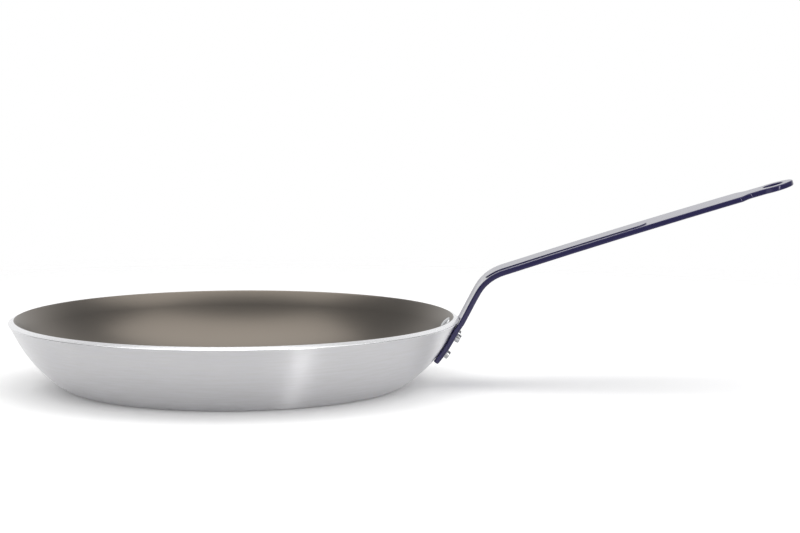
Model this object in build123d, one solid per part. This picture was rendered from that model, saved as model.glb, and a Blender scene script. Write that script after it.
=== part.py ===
"""Omelette pan: a pressed aluminium pan with a non-stick inside and a riveted strip handle.

Millimetres, +Z up. The origin is the centre of the underside of the base, and the
handle points along +X.
"""
from build123d import *
import math
import os

# Pan: overall sizes of the pressed aluminium dish
pan_diameter = 320.0        # over the lip
pan_height = 48.6           # base underside to the inner corner of the lip
metal_thickness = 4.75      # aluminium, the same all over
coating_thickness = 0.25    # non-stick layer, drawn thicker than the real film
wall_angle = 62.0           # slope of the straight band under the lip, in degrees
corner_angle = 32.6         # slope where the tight base corner meets the long sweep
band_length = 10.6          # straight band of wall under the lip
corner_radius = 13.6        # outer radius of the base corner

# Lip: the wall leans out a little in its last two millimetres
lip_flare_out = 1.4
lip_flare_rise = 1.5
lip_face_tilt = 24.5        # the bare end face falls outwards, in degrees
lip_edge_radius = 0.35

# Handle: one steel strip, curved across like the pan up to its bend, and flat after it
strip_thickness = 3.8
strip_width = 42.0          # foot, steep run and bend
shoulder_width = 36.5       # end of the tapered grip
foot_gap = 0.2              # paint and air between the foot and the wall
foot_end_angle = 49.5       # slope of the wall where the foot's square end lies
kink_radius = 20.0          # the two slight bends that take the strip past the lip
lip_clearance = 0.35        # between the strip and the lip
foot_corner_radius = 2.5
steep_angle = 62.6          # slope of the strip above the lip, in degrees
steep_run_length = 23.24    # from the lip to the bend
bend_radius = 30.0          # upper face of the bend
flat_angle = 48.0           # slope in the bend from which the strip is flat across
flattening_steps = 4        # sections from curved to flat across
grip_start_angle = 18.0     # slope of the grip just after the bend, in degrees
grip_arch_radius = 7000.0   # the grip is very slightly arched
grip_length = 200.06        # along the upper face, end of the bend to the eye's centre
strip_edge_radius = 0.9

# Stiffening bead, pressed up out of the grip from below
bead_width = 26.0
bead_height = 0.65
bead_length = 120.0
bead_middle = 47.0          # from the end of the bend, along the strip
bead_corner_radius = 8.0
bead_wall = 1.2             # how much narrower the hollow under it is, all round
bead_edge_radius = 0.28

# Hanging eye at the end of the grip
eye_width = 28.4
eye_hole = 14.0
neck_width = 24.6
taper_length = 190.0        # where the grip begins to narrow, from the eye's centre
shoulder_to_eye = 24.5      # shoulder corner to the eye's centre, along the strip
neck_to_eye = 19.0          # end of the slanting shoulder to the eye's centre
shoulder_radius = 5.0

# Rivets: two above, side by side, and one below on the centre line
shank_diameter = 5.0
shank_clearance = 0.2       # on the diameter, before the rivet is closed
head_diameter = 15.0        # domed factory head, inside the pan
head_rim = 0.8
head_dome = 2.5
tail_diameter = 6.1         # closed end, outside the strip
tail_length = 3.1
tail_edge_radius = 0.5
upper_rivet_pitch = 24.0
upper_rivet_on_band = 1.65  # above the lower end of the straight band, along the wall
tail_margin = 0.3           # curved foot beyond the upper tails
lower_rivet_angle = 53.6    # slope of the wall at the lower rivet

# Overrun of every cutting solid, and the turn in degrees that makes an edge a sharp one
overrun = 10.0
sharp_turn = 45.0


def slope(angle):
    """Unit vector that climbs outwards at an angle, in the pan's section."""
    return Vector(math.cos(math.radians(angle)), math.sin(math.radians(angle)))


def outward(angle):
    """Unit vector out of a wall of that slope, in the pan's section."""
    return Vector(math.sin(math.radians(angle)), -math.cos(math.radians(angle)))


# Section of the pan's outer face, worked out from the lip down. The lip's sharp corner
# starts a little outside the pan's diameter, and its easing brings it back to it.
wall_thickness = metal_thickness + coating_thickness
lip_inward = slope(180 - lip_face_tilt)
flare_angle = math.degrees(math.atan2(lip_flare_rise, lip_flare_out))
lean = slope((flare_angle - lip_face_tilt) / 2)
half_corner = slope((flare_angle + lip_face_tilt) / 2)
easing_share = lean.X / half_corner.Y - 1
sharp_radius = pan_diameter / 2 + lip_edge_radius * easing_share
lip_corner = Vector(sharp_radius, pan_height - wall_thickness * lip_inward.Y)
band_top = lip_corner - Vector(lip_flare_out, lip_flare_rise)
band_foot = band_top - slope(wall_angle) * band_length
corner_rise = corner_radius * (1 + outward(corner_angle).Y)
sweep_share = outward(wall_angle).Y - outward(corner_angle).Y
sweep_radius = (band_foot.Y - corner_rise) / sweep_share
sweep_centre = band_foot - outward(wall_angle) * sweep_radius
corner_centre = sweep_centre + outward(corner_angle) * (sweep_radius - corner_radius)


def wall_curve(offset):
    """The pan's section curve, moved into the wall, from the axis to the lip."""
    floor = Line((0, offset), (corner_centre.X, offset))
    corner = JernArc(floor @ 1, (1, 0), corner_radius - offset, corner_angle)
    sweep_turn = wall_angle - corner_angle
    sweep = JernArc(corner @ 1, slope(corner_angle), sweep_radius - offset, sweep_turn)
    band = Line(sweep @ 1, sweep @ 1 + slope(wall_angle) * band_length)
    flare = Line(band @ 1, lip_corner + lip_inward * offset)
    return [floor, corner, sweep, band, flare]


def closed_face(first, second):
    """Face in the handle's section plane, between two runs of curves side by side."""
    ends = [Line(first[0] @ 0, second[0] @ 0), Line(first[-1] @ 1, second[-1] @ 1)]
    return Plane.XZ * make_face(first + second + ends)


def turned_shell(outer_offset, inner_offset):
    """Solid of revolution between two of the pan's section curves."""
    return revolve(closed_face(wall_curve(outer_offset), wall_curve(inner_offset)), Axis.Z)


# Places on the strip's upper face, in the section plane of the handle
foot_on_band = upper_rivet_on_band + tail_diameter / 2 + tail_margin
foot_top = band_foot + slope(wall_angle) * foot_on_band + outward(wall_angle) * foot_gap
lift_centre = foot_top + outward(wall_angle) * kink_radius
lift_reach = lift_centre - lip_corner
reach_angle = math.degrees(math.atan2(lift_reach.Y, lift_reach.X))
lift_share = (kink_radius + lip_clearance) / lift_reach.length
lift_angle = 90 + reach_angle + math.degrees(math.acos(lift_share))
past_lip = lip_corner + outward(lift_angle) * lip_clearance
steep_centre = past_lip - outward(lift_angle) * kink_radius
steep_start = steep_centre + outward(steep_angle) * kink_radius
bend_start = steep_start + slope(steep_angle) * steep_run_length
bend_centre = bend_start + outward(steep_angle) * bend_radius
flat_start = bend_centre - outward(flat_angle) * bend_radius
bend_end = bend_centre - outward(grip_start_angle) * bend_radius
grip_centre = bend_end + outward(grip_start_angle) * grip_arch_radius


def strip_plane(point, angle):
    """Plane on the strip's upper face: X runs towards the eye, Z out of the face."""
    along = slope(angle)
    return Plane(
        origin=(point.X, 0, point.Y),
        x_dir=(along.X, 0, along.Y),
        z_dir=(-along.Y, 0, along.X),
    )


def grip_plane(distance):
    """Plane on the grip's upper face, at a distance from the end of the bend."""
    angle = grip_start_angle - math.degrees(distance / grip_arch_radius)
    return strip_plane(grip_centre - outward(angle) * grip_arch_radius, angle)


def square_plane(point, angle):
    """Plane square across the strip: X runs across, Y out of its upper face."""
    along = slope(angle)
    return Plane(
        origin=(point.X, 0, point.Y),
        x_dir=(0, 1, 0),
        z_dir=(along.X, 0, along.Y),
    )


def foot_curve(depth):
    """The strip's side view up to its bend, at a depth under its upper face."""
    radius = sweep_radius + foot_gap + depth
    foot = CenterArc(sweep_centre, radius, foot_end_angle - 90, wall_angle - foot_end_angle)
    band = Line(foot @ 1, foot @ 1 + slope(wall_angle) * foot_on_band)
    lift_turn = lift_angle - wall_angle
    lift = JernArc(band @ 1, slope(wall_angle), kink_radius - depth, lift_turn)
    past = Line(lift @ 1, past_lip + outward(lift_angle) * depth)
    back_turn = steep_angle - lift_angle
    back = JernArc(past @ 1, slope(lift_angle), kink_radius + depth, back_turn)
    steep = Line(back @ 1, back @ 1 + slope(steep_angle) * (steep_run_length + overrun))
    return [foot, band, lift, past, back, steep]


def foot_solid():
    """Foot and steep run, curved round the pan, with a square end and eased corners."""
    profile = closed_face(foot_curve(0), foot_curve(strip_thickness))
    ring = Rotation(0, 0, 180) * revolve(profile, Axis.Z)
    blank = Box(
        strip_width, pan_diameter / 2, pan_diameter / 2,
        align=(Align.CENTER, Align.CENTER, Align.MAX),
    )
    foot = ring & square_plane(bend_start, steep_angle) * blank
    through = foot.edges().sort_by(SortBy.LENGTH)[:4]
    return fillet(through.sort_by(Axis.Z)[:2], foot_corner_radius)


def strip_side(depths):
    """Side view of the flat strip, between two depths under its upper face."""
    past_eye = grip_length + eye_width + overrun
    curves = []
    for depth in depths:
        bend_turn = grip_start_angle - flat_angle
        bend = CenterArc(bend_centre, bend_radius - depth, flat_angle + 90, bend_turn)
        grip_turn = -math.degrees(past_eye / grip_arch_radius)
        grip = CenterArc(
            grip_centre, grip_arch_radius - depth, grip_start_angle + 90, grip_turn
        )
        curves.append([bend, grip])
    return closed_face(*curves)


def strip_plan():
    """Plan of the strip, with the eye's centre at zero and the pan towards -X."""
    half = strip_width / 2
    start = -(grip_length + bend_radius)
    shoulder = (-shoulder_to_eye, shoulder_width / 2)
    neck = (-neck_to_eye, neck_width / 2)
    upper = [(start, half), (-taper_length, half), shoulder, neck, (0, neck[1])]
    lower = [(x, -y) for x, y in reversed(upper)]
    blank = make_face(Polyline(*upper, *lower, close=True)) + Circle(eye_width / 2)
    shoulders, necks, ring_meets = blank.vertices().group_by(Axis.X)[2:5]
    blank = fillet(shoulders + necks + ring_meets, shoulder_radius)
    return blank - Circle(eye_hole / 2)


def strip_layer(depths, plan, plane):
    """Part of the flat strip between two depths, cut to a plan drawn on a plane."""
    side = extrude(strip_side(depths), strip_width / 2, both=True)
    reach = bend_radius + overrun
    return side & extrude(plane * plan, reach, both=True)


def sharp_edges(solid):
    """Edges where two faces of the solid meet at more than the sharp turn."""
    found = {}
    for face in solid.faces():
        for edge in face.edges():
            found.setdefault(edge, []).append(face.normal_at(edge @ 0.5))
    pairs = [(e, n) for e, n in found.items() if len(n) == 2]
    return ShapeList(e for e, (a, b) in pairs if a.get_angle(b) > sharp_turn)


def end_face(solid, cut, place):
    """First or last face of a solid along the strip, which lies on the plane of a cut."""
    return solid.faces().sort_by(Axis(cut.origin, cut.z_dir))[place]


def eased(solid, radius, cut, place):
    """The solid with its sharp edges eased, apart from those of the face at a cut."""
    joint = end_face(solid, cut, place).edges()
    edges = [e for e in sharp_edges(solid) if e not in joint]
    return fillet(edges, radius)


def beaded(strip):
    """The flat strip with the bead raised on the grip, and the hollow under it."""
    plane = grip_plane(bead_middle)
    outside = RectangleRounded(bead_length, bead_width, bead_corner_radius)
    raised = strip_layer((-bead_height, strip_thickness / 2), outside, plane)
    inside = offset(outside, -bead_wall)
    under = strip_thickness - bead_height
    hollow = strip_layer((under, strip_thickness + overrun), inside, plane)
    return strip + raised - hollow


def bend_section(share):
    """Eased section across the bend, at a share of the way from curved to flat across."""
    angle = steep_angle + (flat_angle - steep_angle) * share
    half = strip_width / 2
    curl = half**2 / 2 / bend_start.X * outward(steep_angle).X * (1 - share**2)
    upper = ThreePointArc((-half, curl), (0, 0), (half, curl))
    lower = Pos(0, -strip_thickness) * upper
    sides = [Line(upper @ 0, lower @ 0), Line(upper @ 1, lower @ 1)]
    face = make_face([upper, lower] + sides)
    cut = square_plane(bend_centre - outward(angle) * bend_radius, angle)
    return cut * fillet(face.vertices(), strip_edge_radius)


def handle_blank():
    """The handle strip with all its edges eased, before its rivet holes."""
    foot_cut = square_plane(bend_start, steep_angle)
    foot = eased(foot_solid(), strip_edge_radius, foot_cut, -1)
    flat_cut = square_plane(flat_start, flat_angle)
    flat = strip_layer((0, strip_thickness), strip_plan(), grip_plane(grip_length))
    flat = eased(flat, strip_edge_radius, flat_cut, 0)
    flat = eased(beaded(flat), bead_edge_radius, flat_cut, 0)
    # Between the two, the strip turns from curved to flat across
    between = [bend_section(i / flattening_steps) for i in range(1, flattening_steps)]
    ends = [end_face(foot, foot_cut, -1), end_face(flat, flat_cut, 0)]
    return foot + loft([ends[0], *between, ends[1]]) + flat


def rivet_place(point, angle, side_turn):
    """Place on the pan's outer face for a rivet, with Z straight out of the wall."""
    out = outward(angle)
    wall = Plane(origin=(point.X, 0, point.Y), x_dir=(0, 1, 0), z_dir=(out.X, 0, out.Y))
    return Rotation(0, 0, side_turn) * wall.location


def rivet_solid():
    """Closed rivet on its own axis, with the wall's outer face at zero height."""
    head_radius = head_diameter / 2
    shank_radius = shank_diameter / 2
    under_head = -wall_thickness - head_rim
    dome_radius = (head_radius**2 + head_dome**2) / (2 * head_dome)
    dome_centre = Vector(0, under_head - head_dome + dome_radius)
    half_angle = math.degrees(math.asin(head_radius / dome_radius)) / 2
    dome = ThreePointArc(
        (0, under_head - head_dome),
        dome_centre + outward(half_angle) * dome_radius,
        (head_radius, under_head),
    )
    seat = foot_gap + strip_thickness
    side = Polyline(
        (head_radius, under_head),
        (head_radius, -metal_thickness),
        (shank_radius, -metal_thickness),
        (shank_radius, seat),
        (tail_diameter / 2, seat),
        (tail_diameter / 2, seat + tail_length),
        (0, seat + tail_length),
    )
    axis_line = Line(side @ 1, dome @ 0)
    rivet = revolve(Plane.XZ * make_face([dome, side, axis_line]), Axis.Z)
    end = rivet.edges().filter_by(GeomType.CIRCLE).sort_by(Axis.Z)[-1]
    return fillet(end, tail_edge_radius)


# The rivets' places: the upper pair on the straight band, the lower one on the sweep
upper_point = band_foot + slope(wall_angle) * upper_rivet_on_band
lower_point = sweep_centre + outward(lower_rivet_angle) * sweep_radius
upper_turn = math.degrees(math.asin(upper_rivet_pitch / 2 / upper_point.X))
rivet_places = {
    "rivet_upper_left": rivet_place(upper_point, wall_angle, -upper_turn),
    "rivet_upper_right": rivet_place(upper_point, wall_angle, upper_turn),
    "rivet_lower": rivet_place(lower_point, lower_rivet_angle, 0),
}
hole = Cylinder((shank_diameter + shank_clearance) / 2, (wall_thickness + overrun) * 2)

pan_body = turned_shell(0, metal_thickness)
lip_edge = pan_body.edges().filter_by(GeomType.CIRCLE).sort_by(SortBy.RADIUS)[-1]
pan_body = fillet(lip_edge, lip_edge_radius)
nonstick_coating = turned_shell(metal_thickness, wall_thickness)
handle_strip = handle_blank()
for place in rivet_places.values():
    pan_body = pan_body - place * hole
    nonstick_coating = nonstick_coating - place * hole
    handle_strip = handle_strip - place * hole

nodes = {
    "pan_body": pan_body,
    "nonstick_coating": nonstick_coating,
    "handle_strip": handle_strip,
}
for name, place in rivet_places.items():
    # The head closes down on the curved wall, so it takes the wall's shape
    nodes[name] = place * rivet_solid() - pan_body - nonstick_coating

os.makedirs("parts", exist_ok=True)
for name, solid in nodes.items():
    export_step(solid, f"parts/{name}.step")
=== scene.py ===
"""Looks of the omelette pan: satin aluminium, a non-stick inside and an epoxy-coated handle."""

import math

import bmesh
import bpy
from mathutils import Matrix, Vector


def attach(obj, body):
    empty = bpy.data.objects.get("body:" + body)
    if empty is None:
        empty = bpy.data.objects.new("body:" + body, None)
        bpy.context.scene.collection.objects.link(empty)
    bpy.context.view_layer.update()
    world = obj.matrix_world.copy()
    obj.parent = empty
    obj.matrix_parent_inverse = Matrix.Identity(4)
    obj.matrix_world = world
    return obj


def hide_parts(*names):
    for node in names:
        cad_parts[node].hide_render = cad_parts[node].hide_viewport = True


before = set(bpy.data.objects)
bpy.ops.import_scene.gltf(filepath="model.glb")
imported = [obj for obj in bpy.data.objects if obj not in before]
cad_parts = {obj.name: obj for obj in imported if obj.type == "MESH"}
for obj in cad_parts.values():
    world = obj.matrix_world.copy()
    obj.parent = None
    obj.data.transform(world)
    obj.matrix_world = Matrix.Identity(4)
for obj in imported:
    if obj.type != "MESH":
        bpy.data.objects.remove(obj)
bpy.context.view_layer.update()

MM = 0.001

# Section of the pan's wall, outer face first; angles here and below are in degrees
pan_radius = 160.0 * MM
pan_height = 48.6 * MM
metal_thickness = 4.75 * MM
coating_thickness = 0.25 * MM
wall_angle = 62.0
corner_angle = 32.6
band_length = 10.6 * MM
corner_radius = 13.6 * MM
hub_radius = 20.0 * MM

# Lip: flared, cut at a tilt and turned clean, with an edge that is softer than in the CAD
lip_flare_out = 1.4 * MM
lip_flare_rise = 1.5 * MM
lip_face_tilt = 24.5
lip_edge_radius = 0.35 * MM
lip_soft_radius = 0.6 * MM
turned_face_limit = 105.0

# Rivets
shank_diameter = 5.0 * MM
head_diameter = 15.0 * MM
head_rim = 0.8 * MM
head_dome = 2.5 * MM
head_easing = 0.5 * MM
tail_diameter = 6.1 * MM
tail_length = 3.1 * MM
tail_easing = 0.6 * MM
upper_rivet_pitch = 24.0 * MM
upper_rivet_on_band = 1.65 * MM
lower_rivet_angle = 53.6

# Strip of the handle, with its riser and bend in the section plane
strip_width = 42.0 * MM
strip_thickness = 3.8 * MM
foot_gap = 0.2 * MM
steep_angle = 62.6
steep_run_length = 23.24 * MM
steep_start = Vector((161.698, 0, 48.303)) * MM
bend_radius = 30.0 * MM

# Slope at which the CAD's strip has turned flat across
drawn_flat_angle = 48.0

# Stretch in which it turns flat here, from the riser's start, and the cuts that let it
settle_from = 14.0 * MM
settle_to = 44.0 * MM
riser_cuts = 12

# Steps of round shapes
turn_steps = 256
rivet_steps = 48
corner_steps = 10
sweep_steps = 24
dome_steps = 8
lip_easing_steps = 6
head_easing_steps = 3
tail_easing_steps = 4

# Tolerances of the meshes
weld_distance = 0.001 * MM
ring_tolerance = 0.01 * MM
cut_tolerance = 0.0001 * MM
sharp_angle = 40.0

# Marks of brush and tool: width across, and how many lie in a radian round the axis
ring_width = 0.5 * MM
rings_per_radian = 1.6
band_width = 3.0 * MM
bands_per_radian = 6.0
groove_width = 0.3 * MM
grooves_per_radian = 1.0

# Grain of the coats and of the rivets, and the depth of every bump
spray_grain = 0.6 * MM
spray_cloud = 60.0 * MM
orange_peel = 2.5 * MM
heading_mark = 1.2 * MM
bump_depth = 0.05 * MM

# Where most of a noise lies, and the whole of it
noise_middle = (0.3, 0.7)
noise_whole = (0.0, 1.0)

# Sockets of the colours in a Mix node, which share their names with others
mix_first = 6
mix_second = 7
mix_result = 2

# Floor, in metres: distances from the axis between which it fades out, and between which painted
# light, a glow seen by camera and mirrored rays, rises to its full strength and turns it whiter
floor_size = 4.0
floor_drop = 0.1 * MM
floor_fade = (0.55, 0.9)
painted_glow_reach = (0.105, 0.145)
painted_floor_glow = 0.25

# Room: its level for matt surfaces, and its turn from dim to white by the Y of a direction
plain_level = 0.42
dim_level = 0.30
dim_to_white = (0.35, 0.87)

# Lamps, in metres; a radiance of one looks as bright as white
overhead_place = (0.08, 0.03, 1.4)
overhead_target = (0.08, 0, 0.03)
overhead_size = (2.2, 1.15)
overhead_radiance = 1.85
side_place = (0.93, -1.19, 0.5)
side_target = (0, 0, 0.03)
side_size = (0.16, 0.9)
side_radiance = 7.5

# Camera, in metres and degrees, as fitted to the photograph and its width in pixels
camera_place = (0.1456, -1.5977, 0.2556)
camera_yaw = 1.0
camera_pitch = 6.12
focal_pixels = 2261.0
frame_pixels = 800.0
sensor_width = 36.0


def slope(angle):
    """Unit vector that climbs outwards at an angle, in the section plane of the handle."""
    return Vector((math.cos(math.radians(angle)), 0, math.sin(math.radians(angle))))


def outward(angle):
    """Unit vector out of a wall of that slope, in the section plane of the handle."""
    return Vector((math.sin(math.radians(angle)), 0, -math.cos(math.radians(angle))))


# Section worked out from the lip down, as the pan is drawn
wall_thickness = metal_thickness + coating_thickness
lip_inward = slope(180 - lip_face_tilt)
flare_angle = math.degrees(math.atan2(lip_flare_rise, lip_flare_out))
lean = slope((flare_angle - lip_face_tilt) / 2)
half_corner = slope((flare_angle + lip_face_tilt) / 2)
sharp_radius = pan_radius + lip_edge_radius * (lean.x / half_corner.z - 1)
lip_corner = Vector((sharp_radius, 0, pan_height - wall_thickness * lip_inward.z))
band_top = lip_corner - Vector((lip_flare_out, 0, lip_flare_rise))
band_foot = band_top - slope(wall_angle) * band_length
corner_rise = corner_radius * (1 + outward(corner_angle).z)
sweep_share = outward(wall_angle).z - outward(corner_angle).z
sweep_radius = (band_foot.z - corner_rise) / sweep_share
sweep_centre = band_foot - outward(wall_angle) * sweep_radius
corner_centre = sweep_centre + outward(corner_angle) * (sweep_radius - corner_radius)

# The riser's upper end, and the centre of the bend that follows it
bend_start = steep_start + slope(steep_angle) * steep_run_length
bend_centre = bend_start + outward(steep_angle) * bend_radius


def line(bm, start, point):
    """Draws a straight edge from a vertex to a point, and returns the new vertex."""
    end = bmesh.ops.extrude_vert_indiv(bm, verts=[start])["verts"][0]
    end.co = point
    return end


def arc(bm, start, centre, turn, steps):
    """Draws an arc from a vertex about a centre in the section plane."""
    made = bmesh.ops.spin(
        bm, geom=[start], cent=centre, axis=(0, -1, 0), angle=math.radians(turn), steps=steps
    )
    return next(v for v in made["geom_last"] if isinstance(v, bmesh.types.BMVert))


def climb(bm, offset):
    """Draws the wall's section at an offset into the wall, from the axis to the lip."""
    end = bm.verts.new((0, 0, offset))
    end = line(bm, end, (hub_radius, 0, offset))
    end = line(bm, end, (corner_centre.x, 0, offset))
    end = arc(bm, end, corner_centre, corner_angle, corner_steps)
    end = arc(bm, end, sweep_centre, wall_angle - corner_angle, sweep_steps)
    end = line(bm, end, end.co + slope(wall_angle) * band_length)
    return line(bm, end, lip_corner + lip_inward * offset)


def lathe(bm, steps):
    """Turns the drawn section about the Z axis into a closed shell that faces outwards."""
    bmesh.ops.spin(
        bm, geom=bm.verts[:] + bm.edges[:], cent=(0, 0, 0), axis=(0, 0, 1),
        angle=math.tau, steps=steps, use_merge=True,
    )
    bmesh.ops.remove_doubles(bm, verts=bm.verts[:], dist=weld_distance)
    bmesh.ops.recalc_face_normals(bm, faces=bm.faces[:])


def ring_edges(bm, radius, height):
    """Edges of the ring that the lathe made from one corner of the section."""
    def on_ring(v):
        off = abs(math.hypot(v.co.x, v.co.y) - radius) + abs(v.co.z - height)
        return off < ring_tolerance
    return [e for e in bm.edges if all(on_ring(v) for v in e.verts)]


def ease(bm, edges, radius, segments, corner=90):
    """Rounds edges where two faces meet at a corner of so many degrees."""
    reach = radius / math.tan(math.radians(corner / 2))
    bmesh.ops.bevel(
        bm, geom=edges, offset=reach, offset_type="OFFSET", segments=segments,
        profile=0.5, affect="EDGES", material=-1,
    )


def new_object(name, bm, materials):
    """Makes an object of a finished mesh, in the scene and with its materials."""
    mesh = bpy.data.meshes.new(name)
    bm.to_mesh(mesh)
    bm.free()
    for material in materials:
        mesh.materials.append(material)
    made = bpy.data.objects.new(name, mesh)
    bpy.context.scene.collection.objects.link(made)
    return made


def piece(name, bm, node, materials):
    """Makes a smooth-shaded piece that stands for a node of the frame."""
    made = new_object(name, bm, materials)
    made.data.shade_smooth()
    made.data.set_sharp_from_angle(angle=math.radians(sharp_angle))
    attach(made, "root")
    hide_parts(node)
    return made


def linear(code):
    """An sRGB hex colour as the linear colour that the shaders take."""
    shares = [int(code[i:i + 2], 16) / 255 for i in (1, 3, 5)]
    return tuple(s / 12.92 if s <= 0.04045 else ((s + 0.055) / 1.055) ** 2.4 for s in shares) + (1.0,)


def add(tree, kind, inputs=None, **settings):
    """Adds a node; inputs gives each socket a value or the output that feeds it."""
    made = tree.nodes.new(kind)
    for name, value in settings.items():
        setattr(made, name, value)
    for socket, value in (inputs or {}).items():
        if isinstance(value, bpy.types.NodeSocket):
            tree.links.new(value, made.inputs[socket])
        else:
            made.inputs[socket].default_value = value
    return made


def worked(tree, operation, first, second):
    """Result of a maths operation on two outputs, or on an output and a number."""
    return add(tree, "ShaderNodeMath", {0: first, 1: second}, operation=operation).outputs[0]


def spread(tree, value, reach, levels, **settings):
    """Maps the reach of a value onto two levels."""
    return add(
        tree, "ShaderNodeMapRange",
        {"Value": value, "From Min": reach[0], "From Max": reach[1],
         "To Min": levels[0], "To Max": levels[1]},
        **settings,
    ).outputs[0]


def tone(tree, share, first, second):
    """Colour that goes from the first hex colour to the second by a share."""
    return add(
        tree, "ShaderNodeMix",
        {"Factor": share, mix_first: linear(first), mix_second: linear(second)},
        data_type="RGBA",
    ).outputs[mix_result]


def relief(tree, height, strength):
    """Bumped normal from a noise."""
    return add(
        tree, "ShaderNodeBump", {"Height": height, "Strength": strength, "Distance": bump_depth}
    ).outputs[0]


def grain(tree, size, detail):
    """Noise with grains of one size in every direction."""
    place = add(tree, "ShaderNodeTexCoord").outputs["Object"]
    return add(
        tree, "ShaderNodeTexNoise", {"Vector": place, "Scale": 1 / size, "Detail": detail}
    ).outputs["Fac"]


def round_coordinates(tree):
    """Outputs of radius, turn and height about the pan's axis."""
    place = add(tree, "ShaderNodeTexCoord").outputs["Object"]
    parts = add(tree, "ShaderNodeSeparateXYZ", {0: place}).outputs
    turn = worked(tree, "ARCTAN2", parts["Y"], parts["X"])
    flat = add(tree, "ShaderNodeCombineXYZ", {0: parts["X"], 1: parts["Y"]})
    radius = add(tree, "ShaderNodeVectorMath", {0: flat.outputs[0]}, operation="LENGTH")
    return radius.outputs["Value"], turn, parts["Z"]


def marks_round(tree, reach, turn, width, per_radian, **look):
    """Noise drawn out into marks round the axis; reach is the length across them."""
    across = worked(tree, "MULTIPLY", reach, 1 / width)
    along = worked(tree, "MULTIPLY", turn, per_radian)
    drawn = add(tree, "ShaderNodeCombineXYZ", {0: across, 1: along}).outputs[0]
    return add(tree, "ShaderNodeTexNoise", {"Vector": drawn, "Scale": 1.0, **look}).outputs["Fac"]


def new_material(name):
    """An empty node material and its tree."""
    material = bpy.data.materials.new(name)
    material.use_nodes = True
    material.node_tree.nodes.clear()
    return material, material.node_tree


def finished(material, inputs):
    """Ends a material with one Principled shader, and returns it."""
    tree = material.node_tree
    shader = add(tree, "ShaderNodeBsdfPrincipled", inputs)
    add(tree, "ShaderNodeOutputMaterial", {"Surface": shader.outputs[0]})
    return material


def spun_aluminium():
    """Aluminium spun and brushed on the lathe: fine rings that smear lights up the wall."""
    material, tree = new_material("spun_brushed_aluminium")
    radius, turn, height = round_coordinates(tree)
    reach = worked(tree, "ADD", radius, height)
    # Brushing rings about 0.25 mm wide, drawn wider so that they show
    rings = marks_round(tree, reach, turn, ring_width, rings_per_radian, Detail=3.0, Roughness=0.6)
    # Uneven bands that the brush leaves, about 25 mm long
    bands = marks_round(tree, reach, turn, band_width, bands_per_radian, Detail=4.0, Roughness=0.65)
    return finished(material, {
        "Base Color": tone(tree, bands, "#cfcecc", "#e6e6eb"),
        "Metallic": 1.0,
        "Roughness": spread(tree, bands, noise_middle, (0.34, 0.44)),
        "Anisotropic": 1.0,
        "Anisotropic Rotation": 0.25,
        "Normal": relief(tree, rings, 0.35),
        "Tangent": add(tree, "ShaderNodeTangent", direction_type="RADIAL", axis="Z").outputs[0],
    })


def turned_lip():
    """The lip's bare end face, turned clean after coating: brighter, with fine grooves."""
    material, tree = new_material("turned_aluminium_edge")
    radius, turn, height = round_coordinates(tree)
    reach = worked(tree, "SUBTRACT", radius, height)
    grooves = marks_round(tree, reach, turn, groove_width, grooves_per_radian, Detail=2.0)
    return finished(material, {
        "Base Color": linear("#ececee"),
        "Metallic": 1.0,
        "Roughness": spread(tree, grooves, noise_middle, (0.20, 0.30)),
    })


def nonstick_coat():
    """Fluoropolymer sprayed and baked in coats: low sheen, sprayed grain and a cloudy tone."""
    material, tree = new_material("baked_fluoropolymer_coat")
    return finished(material, {
        "Base Color": tone(tree, grain(tree, spray_cloud, 3.0), "#2b2d2f", "#323334"),
        "Roughness": 0.34,
        "IOR": 1.8,
        "Specular IOR Level": 0.9,
        "Specular Tint": linear("#ffefdc"),
        "Normal": relief(tree, grain(tree, spray_grain, 2.0), 0.15),
    })


def epoxy_coat():
    """Violet-blue epoxy powder baked on steel: deep gloss with a soft orange peel."""
    material, tree = new_material("baked_epoxy_powder_coat")
    return finished(material, {
        "Base Color": linear("#292650"),
        "Roughness": 0.12,
        "IOR": 1.5,
        "Specular Tint": linear("#eeeaff"),
        "Normal": relief(tree, grain(tree, orange_peel, 1.0), 0.10),
    })


def headed_aluminium():
    """Cold-headed aluminium wire: pale satin, without the pan's rings."""
    material, tree = new_material("cold_headed_aluminium")
    return finished(material, {
        "Base Color": linear("#c6c7c9"),
        "Metallic": 1.0,
        "Roughness": spread(tree, grain(tree, heading_mark, 3.0), noise_whole, (0.18, 0.32)),
    })


def make_pan_body():
    """The pressed dish: one section turned about the axis, with its lip corner eased."""
    bm = bmesh.new()
    climb(bm, 0)
    end = climb(bm, metal_thickness)
    rim = min(bm.verts, key=lambda v: (v.co - lip_corner).length)
    bm.edges.new((rim, end))
    lathe(bm, turn_steps)
    lip = ring_edges(bm, lip_corner.x, lip_corner.z)
    ease(bm, lip, lip_soft_radius, lip_easing_steps, flare_angle + lip_face_tilt)
    made = piece("spun_pan_body", bm, "pan_body", [spun_aluminium(), turned_lip()])
    for face in made.data.polygons:
        tilt = face.normal.angle(Vector((0, 0, 1)))
        if face.center.z > lip_corner.z - lip_soft_radius and tilt < math.radians(turned_face_limit):
            face.material_index = 1


def make_coating():
    """The non-stick layer on the inside, up to the lip's end face."""
    bm = bmesh.new()
    outer = climb(bm, metal_thickness)
    inner = climb(bm, wall_thickness)
    bm.edges.new((outer, inner))
    lathe(bm, turn_steps)
    piece("nonstick_inside", bm, "nonstick_coating", [nonstick_coat()])


def along_strip(place):
    """Length from the start of the riser to a place, and the strip's slope there."""
    run = (place - steep_start).dot(slope(steep_angle))
    if run < steep_run_length:
        return run, steep_angle
    angle = math.degrees(math.atan2(bend_centre.x - place.x, place.z - bend_centre.z))
    return steep_run_length + bend_radius * math.radians(steep_angle - angle), angle


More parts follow.
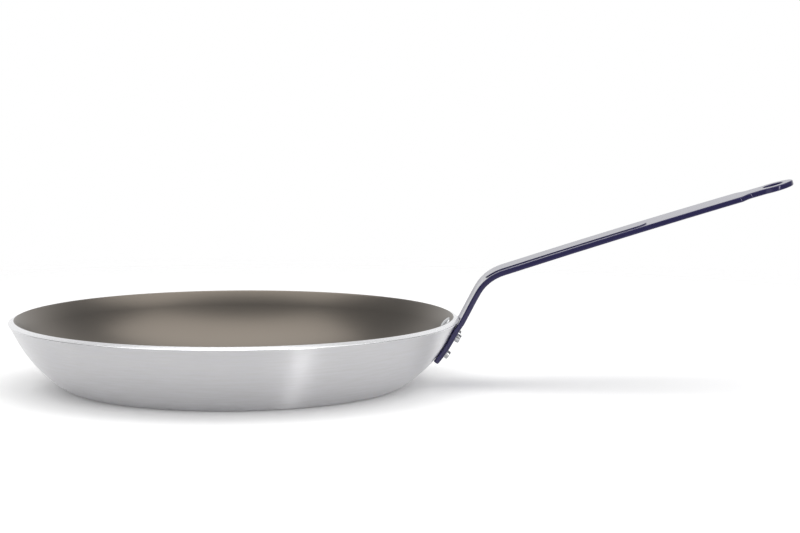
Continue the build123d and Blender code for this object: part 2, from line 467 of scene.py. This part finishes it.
def settle_bend(bm):
    """Spreads the strip's turn from curved to flat across over its riser and whole bend."""
    for i in range(1, riser_cuts):
        cut = steep_start + slope(steep_angle) * (steep_run_length * i / riser_cuts)
        bmesh.ops.bisect_plane(
            bm, geom=bm.verts[:] + bm.edges[:] + bm.faces[:], dist=cut_tolerance,
            plane_co=cut, plane_no=slope(steep_angle),
        )
    half = strip_width / 2
    # How far the edges of a strip curved like the wall stand back from its middle
    full_curl = half**2 / 2 / bend_start.x * outward(steep_angle).x
    flattened = bend_radius * math.radians(steep_angle - drawn_flat_angle)
    for v in bm.verts:
        run, angle = along_strip(Vector((v.co.x, 0, v.co.z)))
        if not settle_from < run < settle_to:
            continue
        drawn_share = min(max((run - steep_run_length) / flattened, 0), 1)
        share = (run - settle_from) / (settle_to - settle_from)
        wanted = 1 - share**2 * (3 - 2 * share)
        change = full_curl * (wanted - 1 + drawn_share**2) * (v.co.y / half)**2
        v.co -= outward(angle) * change


def make_handle():
    """The coated strip of the frame, welded for smooth gloss and with its bend settled."""
    bm = bmesh.new()
    bm.from_mesh(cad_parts["handle_strip"].data)
    bmesh.ops.remove_doubles(bm, verts=bm.verts[:], dist=weld_distance)
    settle_bend(bm)
    made = piece("coated_strip_handle", bm, "handle_strip", [epoxy_coat()])
    weighted = made.modifiers.new("even_gloss", "WEIGHTED_NORMAL")
    weighted.mode = "FACE_AREA"
    weighted.keep_sharp = True


def make_rivet(name, node, point, angle, side_turn, material):
    """A closed rivet: domed head inside the pan, shank through, tail on the strip."""
    head_radius = head_diameter / 2
    under_head = -wall_thickness - head_rim
    dome_radius = (head_radius**2 + head_dome**2) / (2 * head_dome)
    dome_centre = Vector((0, 0, under_head - head_dome + dome_radius))
    half_angle = math.degrees(math.asin(head_radius / dome_radius))
    seat = foot_gap + strip_thickness
    bm = bmesh.new()
    end = bm.verts.new((0, 0, under_head - head_dome))
    end = arc(bm, end, dome_centre, half_angle, dome_steps)
    for radius, height in (
        (head_radius, -metal_thickness),
        (shank_diameter / 2, -metal_thickness),
        (shank_diameter / 2, seat),
        (tail_diameter / 2, seat),
        (tail_diameter / 2, seat + tail_length),
        (0, seat + tail_length),
    ):
        end = line(bm, end, (radius, 0, height))
    lathe(bm, rivet_steps)
    head_edge = ring_edges(bm, head_radius, under_head)
    ease(bm, head_edge, head_easing, head_easing_steps, 90 + half_angle)
    tail_edge = ring_edges(bm, tail_diameter / 2, seat + tail_length)
    ease(bm, tail_edge, tail_easing, tail_easing_steps)
    out = outward(angle)
    side = Vector((0, 1, 0))
    turned = Matrix.Rotation(math.radians(side_turn), 4, "Z")
    axes = Matrix((side, out.cross(side), out)).transposed().to_4x4()
    bm.transform(turned @ Matrix.Translation(point) @ axes)
    piece(name, bm, node, [material])


def make_rivets():
    """Two rivets side by side in the band, and one below them on the centre line."""
    metal = headed_aluminium()
    upper = band_foot + slope(wall_angle) * upper_rivet_on_band
    lower = sweep_centre + outward(lower_rivet_angle) * sweep_radius
    turn = math.degrees(math.asin(upper_rivet_pitch / 2 / upper.x))
    make_rivet("upper_left_rivet", "rivet_upper_left", upper, wall_angle, -turn, metal)
    make_rivet("upper_right_rivet", "rivet_upper_right", upper, wall_angle, turn, metal)
    make_rivet("lower_rivet", "rivet_lower", lower, lower_rivet_angle, 0, metal)


def background_rays(tree):
    """Share that is one for camera, glossy and transmission rays."""
    path = add(tree, "ShaderNodeLightPath").outputs
    seen = worked(tree, "MAXIMUM", path["Is Camera Ray"], path["Is Glossy Ray"])
    return worked(tree, "MAXIMUM", seen, path["Is Transmission Ray"])


def make_floor():
    """A pale matt floor that keeps the pan's shadow, is whitened away from the pan by a painted glow,
    and fades out into the white room.
    """
    bm = bmesh.new()
    bmesh.ops.create_grid(bm, x_segments=1, y_segments=1, size=floor_size / 2)
    bmesh.ops.translate(bm, verts=bm.verts[:], vec=(0, 0, -floor_drop))
    material, tree = new_material("matt_white_floor")
    place = add(tree, "ShaderNodeTexCoord").outputs["Object"]
    distance = add(tree, "ShaderNodeVectorMath", {0: place}, operation="LENGTH").outputs["Value"]
    fade = spread(tree, distance, floor_fade, (0.0, 1.0), interpolation_type="SMOOTHSTEP")
    matt = add(tree, "ShaderNodeBsdfDiffuse", {"Color": linear("#f8f8f8")}).outputs[0]
    # Painted light: camera and mirrored rays see a glow on the floor that grows from nothing at the
    # pan's base to full strength further out, so the floor turns whiter away from the base
    painted_glow = spread(tree, distance, painted_glow_reach, (0.0, painted_floor_glow))
    shown_painted_glow = worked(tree, "MULTIPLY", painted_glow, background_rays(tree))
    # The painted glow is an emission, so the pan's wall also shows it in its reflection of the floor
    painted_glow_shader = add(tree, "ShaderNodeEmission", {"Strength": shown_painted_glow}).outputs[0]
    lit = add(tree, "ShaderNodeAddShader", {0: matt, 1: painted_glow_shader}).outputs[0]
    clear = add(tree, "ShaderNodeBsdfTransparent").outputs[0]
    mixed = add(tree, "ShaderNodeMixShader", {0: fade, 1: lit, 2: clear}).outputs[0]
    add(tree, "ShaderNodeOutputMaterial", {"Surface": mixed})
    new_object("floor", bm, [material])


def make_room():
    """White behind the pan, dim around the camera, and a plain level for matt surfaces."""
    world = bpy.data.worlds.new("white_room")
    world.use_nodes = True
    tree = world.node_tree
    tree.nodes.clear()
    way = add(tree, "ShaderNodeTexCoord").outputs["Generated"]
    depth = add(tree, "ShaderNodeSeparateXYZ", {0: way}).outputs["Y"]
    shade = spread(tree, depth, dim_to_white, (dim_level, 1.0), interpolation_type="SMOOTHSTEP")
    path = add(tree, "ShaderNodeLightPath").outputs
    whole = worked(tree, "MAXIMUM", shade, path["Is Camera Ray"])
    white = linear("#ffffff")
    room = add(tree, "ShaderNodeBackground", {"Color": white, "Strength": plain_level}).outputs[0]
    seen = add(tree, "ShaderNodeBackground", {"Color": white, "Strength": whole}).outputs[0]
    mixed = add(tree, "ShaderNodeMixShader", {0: background_rays(tree), 1: room, 2: seen}).outputs[0]
    add(tree, "ShaderNodeOutputWorld", {"Surface": mixed})
    bpy.context.scene.world = world


def softbox(name, place, target, size, radiance):
    """A soft lamp that faces a target, as bright to look at as its radiance says."""
    data = bpy.data.lights.new(name, "AREA")
    data.shape = "RECTANGLE"
    data.size, data.size_y = size
    data.energy = radiance * math.pi * size[0] * size[1]
    lamp = bpy.data.objects.new(name, data)
    lamp.location = place
    lamp.rotation_mode = "QUATERNION"
    lamp.rotation_quaternion = (Vector(target) - Vector(place)).to_track_quat("-Z", "Y")
    bpy.context.scene.collection.objects.link(lamp)


def make_camera():
    """The camera, as wide as the photograph."""
    data = bpy.data.cameras.new("camera")
    data.sensor_fit = "HORIZONTAL"
    data.sensor_width = sensor_width
    data.lens = focal_pixels / frame_pixels * sensor_width
    camera = bpy.data.objects.new("camera", data)
    camera.location = camera_place
    camera.rotation_euler = (math.radians(90 - camera_pitch), 0, math.radians(camera_yaw))
    bpy.context.scene.collection.objects.link(camera)
    bpy.context.scene.camera = camera


make_pan_body()
make_coating()
make_handle()
make_rivets()
make_floor()
make_room()
softbox("overhead_softbox", overhead_place, overhead_target, overhead_size, overhead_radiance)
softbox("strip_softbox", side_place, side_target, side_size, side_radiance)
make_camera()
bpy.context.scene.view_settings.view_transform = "Standard"
